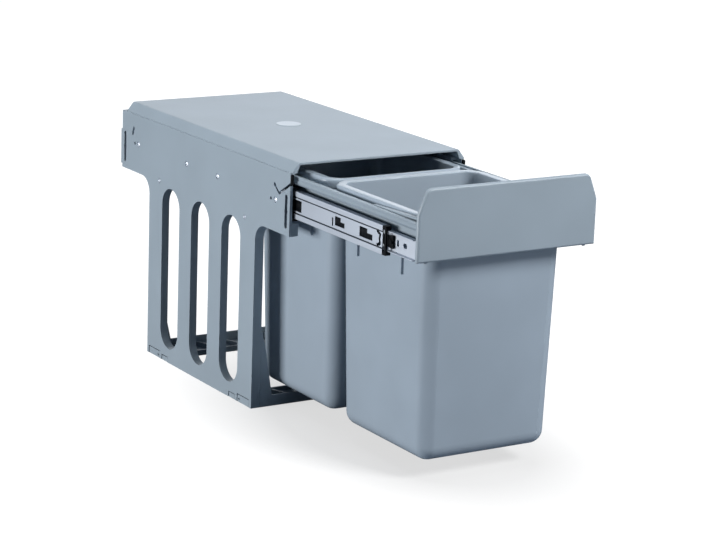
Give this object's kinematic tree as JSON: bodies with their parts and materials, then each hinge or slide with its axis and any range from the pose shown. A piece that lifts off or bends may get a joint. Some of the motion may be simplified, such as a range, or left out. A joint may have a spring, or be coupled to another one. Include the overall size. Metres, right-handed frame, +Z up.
{
  "type": "pull-out recycling bin",
  "caption": "Built-in pull-out recycling bin: slotted side frames and a cover carry ball-bearing slides, a carrier with a front panel, and lift-out tapered tubs.",
  "frame": {"origin": "middle of the four floor screw holes, on the cabinet floor", "axes": "+X to the right as seen from the front, -Y out of the cabinet, +Z up"},
  "size_m": [0.256, 0.7525, 0.3616],
  "materials": {
    "grey_plastic": "satin moulded",
    "bin_plastic": "satin moulded",
    "pale_plastic": "gloss",
    "zinc_steel": "bright zinc",
    "ball_steel": "polished",
    "black_plastic": "satin",
    "black_rubber": "matte"
  },
  "bodies": {
    "housing": {"left_side_frame": "grey_plastic", "right_side_frame": "grey_plastic", "left_front_bracket": "grey_plastic", "right_front_bracket": "grey_plastic", "left_rear_bracket": "grey_plastic", "right_rear_bracket": "grey_plastic", "left_outer_rail": "zinc_steel", "right_outer_rail": "zinc_steel", "left_rail_screws": "zinc_steel", "right_rail_screws": "zinc_steel", "left_rear_stop": "black_rubber", "right_rear_stop": "black_rubber", "left_outer_guide": "black_plastic", "right_outer_guide": "black_plastic", "front_crossbar": "grey_plastic", "rear_crossbar": "grey_plastic", "rear_tie": "grey_plastic", "top_cover": "grey_plastic", "cover_disc": "pale_plastic", "cover_screws": "zinc_steel"},
    "left_middle": {"left_middle_rail": "zinc_steel", "left_middle_guide": "black_plastic"},
    "right_middle": {"right_middle_rail": "zinc_steel", "right_middle_guide": "black_plastic"},
    "left_outer_cage": {"left_outer_cage": "black_plastic", "left_outer_balls": "ball_steel"},
    "right_outer_cage": {"right_outer_cage": "black_plastic", "right_outer_balls": "ball_steel"},
    "drawer": {"left_inner_rail": "zinc_steel", "right_inner_rail": "zinc_steel", "left_lever_rivet": "zinc_steel", "right_lever_rivet": "zinc_steel", "left_carrier_rail": "grey_plastic", "right_carrier_rail": "grey_plastic", "left_carrier_screws": "zinc_steel", "right_carrier_screws": "zinc_steel", "carrier_front_bar": "grey_plastic", "carrier_middle_bar": "grey_plastic", "carrier_rear_bar": "grey_plastic", "front_panel": "grey_plastic", "panel_screws": "zinc_steel"},
    "left_inner_cage": {"left_inner_cage": "black_plastic", "left_inner_balls": "ball_steel"},
    "right_inner_cage": {"right_inner_cage": "black_plastic", "right_inner_balls": "ball_steel"},
    "left_lever": {"left_release_lever": "black_plastic"},
    "right_lever": {"right_release_lever": "black_plastic"},
    "front_bin": {"front_bin": "bin_plastic"},
    "rear_bin": {"rear_bin": "bin_plastic"}
  },
  "joints": [
    {"name": "middle_slide", "type": "slide", "parent": "housing", "child": "left_middle", "axis": [0, -1, 0], "range_m": [-0.208, 0.017]},
    {"name": "right_middle_slide", "type": "slide", "parent": "housing", "child": "right_middle", "axis": [0, -1, 0], "range_m": [-0.208, 0.017]},
    {"name": "left_outer_cage_slide", "type": "slide", "parent": "housing", "child": "left_outer_cage", "axis": [0, -1, 0], "range_m": [-0.104, 0.0085]},
    {"name": "right_outer_cage_slide", "type": "slide", "parent": "housing", "child": "right_outer_cage", "axis": [0, -1, 0], "range_m": [-0.104, 0.0085]},
    {"name": "drawer_slide", "type": "slide", "parent": "left_middle", "child": "drawer", "axis": [0, -1, 0], "range_m": [-0.056, 0.169]},
    {"name": "left_inner_cage_slide", "type": "slide", "parent": "left_middle", "child": "left_inner_cage", "axis": [0, -1, 0], "range_m": [-0.028, 0.0845]},
    {"name": "right_inner_cage_slide", "type": "slide", "parent": "right_middle", "child": "right_inner_cage", "axis": [0, -1, 0], "range_m": [-0.028, 0.0845]},
    {"name": "front_bin_lift", "type": "slide", "parent": "drawer", "child": "front_bin", "axis": [0, 0, 1], "range_m": [0, 0.01]},
    {"name": "rear_bin_lift", "type": "slide", "parent": "drawer", "child": "rear_bin", "axis": [0, 0, 1], "range_m": [0, 0.01]},
    {"name": "left_lever_turn", "type": "hinge", "parent": "drawer", "child": "left_lever", "pos_m": [-0.1146, -0.4455, 0.285], "axis": [1, 0, 0], "range_deg": [-8, 8]},
    {"name": "right_lever_turn", "type": "hinge", "parent": "drawer", "child": "right_lever", "pos_m": [0.1146, -0.4455, 0.285], "axis": [1, 0, 0], "range_deg": [-8, 8]}
  ],
  "couplings": [
    {"joint": "right_middle_slide", "follows": "middle_slide", "ratio": 1},
    {"joint": "left_outer_cage_slide", "follows": "middle_slide", "ratio": 0.5},
    {"joint": "right_outer_cage_slide", "follows": "middle_slide", "ratio": 0.5},
    {"joint": "left_inner_cage_slide", "follows": "drawer_slide", "ratio": 0.5},
    {"joint": "right_inner_cage_slide", "follows": "drawer_slide", "ratio": 0.5}
  ]
}
